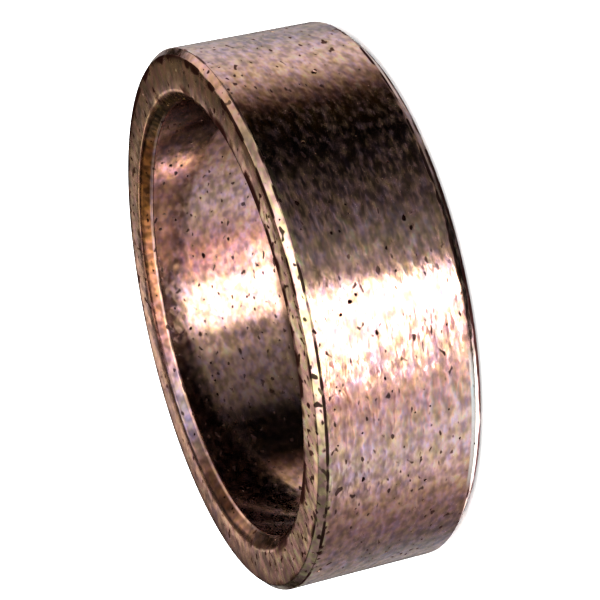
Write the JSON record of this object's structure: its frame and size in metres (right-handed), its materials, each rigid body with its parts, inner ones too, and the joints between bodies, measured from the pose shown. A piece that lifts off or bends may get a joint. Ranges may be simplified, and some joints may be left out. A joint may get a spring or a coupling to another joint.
{
  "type": "sleeve bushing",
  "caption": "Short plain sleeve bushing of porous sintered bronze, chamfered outside and in the bore at both ends.",
  "frame": {"origin": "centre of the lower end face, on the bore axis", "axes": "+Z along the bore axis, towards the end with the narrow outside chamfer"},
  "size_m": [0.025, 0.025, 0.0075],
  "materials": {
    "sintered_bronze": "as-sized sintered bronze, satin, with fine open pores"
  },
  "bodies": {
    "root": {"sleeve": "sintered_bronze"}
  },
  "joints": []
}
